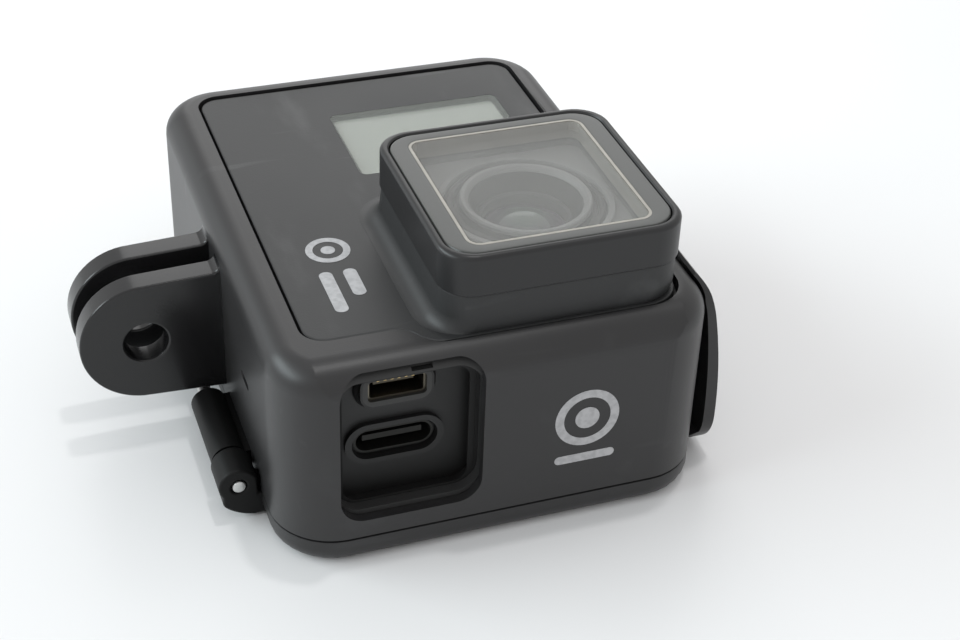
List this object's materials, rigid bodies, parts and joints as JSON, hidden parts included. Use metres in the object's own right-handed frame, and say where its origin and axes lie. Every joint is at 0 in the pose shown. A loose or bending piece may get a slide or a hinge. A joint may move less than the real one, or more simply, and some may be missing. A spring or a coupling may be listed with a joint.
{
  "type": "action camera in mounting frame",
  "caption": "Small rectangular action camera with a square lens, held in a hinged, latched mounting frame with two mounting fingers.",
  "frame": {"origin": "centre of the bounding box at the surface that the camera lies on, its back down", "axes": "+X to the camera's top face with the shutter button, -X to the mounting fingers, -Y to the side with the ports, +Z the way the lens looks"},
  "size_m": [0.0687, 0.0648, 0.0345],
  "materials": {
    "frame_plastic": "fine satin texture",
    "pin_steel": "ground steel",
    "camera_plastic": "fine matt",
    "panel_plastic": "soft-touch matt",
    "lens_ring_plastic": "satin",
    "glass": "coated",
    "dark_glass": "polished",
    "lens_black": "matt",
    "sensor": "iridescent",
    "board": "solder mask",
    "lcd": "reflective liquid crystal",
    "display": "unlit screen",
    "battery_wrap": "printed wrap",
    "heat_plate": "plain",
    "seal_rubber": "moulded",
    "port_metal": "plated",
    "button_plastic": "satin"
  },
  "bodies": {
    "camera": {"frame_shell": "frame_plastic", "hinge_pin": "pin_steel", "camera_body": "camera_plastic", "faceplate": "panel_plastic", "lens_housing": "panel_plastic", "lens_ring": "lens_ring_plastic", "cover_glass": "glass", "lens_mask": "lens_black", "lens_barrel": "lens_black", "lens_retainer": "lens_black", "front_lens": "glass", "inner_lens": "glass", "image_sensor": "sensor", "sensor_board": "board", "status_window": "glass", "status_lcd": "lcd", "rear_cover": "camera_plastic", "display_glass": "dark_glass", "touch_display": "display", "battery": "battery_wrap", "battery_door": "camera_plastic", "main_board": "board", "chassis": "heat_plate", "port_panel": "camera_plastic", "port_gasket": "seal_rubber", "hdmi_port": "port_metal", "usb_port": "port_metal", "port_board": "board", "shutter_switch": "port_metal", "mode_switch": "port_metal", "speaker": "lens_black", "microphone": "port_metal"},
    "rear_door": {"rear_door": "frame_plastic", "latch_pin": "pin_steel"},
    "latch": {"latch": "frame_plastic"},
    "shutter_button": {"shutter_button": "button_plastic"},
    "mode_button": {"mode_button": "button_plastic"}
  },
  "joints": [
    {"name": "door_hinge", "type": "hinge", "parent": "camera", "child": "rear_door", "pos_m": [-0.02055, 0, 0.0046], "axis": [0, 1, 0], "range_deg": [0, 95]},
    {"name": "latch_hinge", "type": "hinge", "parent": "rear_door", "child": "latch", "pos_m": [0.03285, -0.0116, 0.00175], "axis": [0, 1, 0], "range_deg": [0, 75]},
    {"name": "shutter_press", "type": "slide", "parent": "camera", "child": "shutter_button", "axis": [-1, 0, 0], "range_m": [0, 0.0006], "stiffness_N_per_m": 1500},
    {"name": "mode_press", "type": "slide", "parent": "camera", "child": "mode_button", "axis": [0, -1, 0], "range_m": [0, 0.0005], "stiffness_N_per_m": 1500}
  ]
}
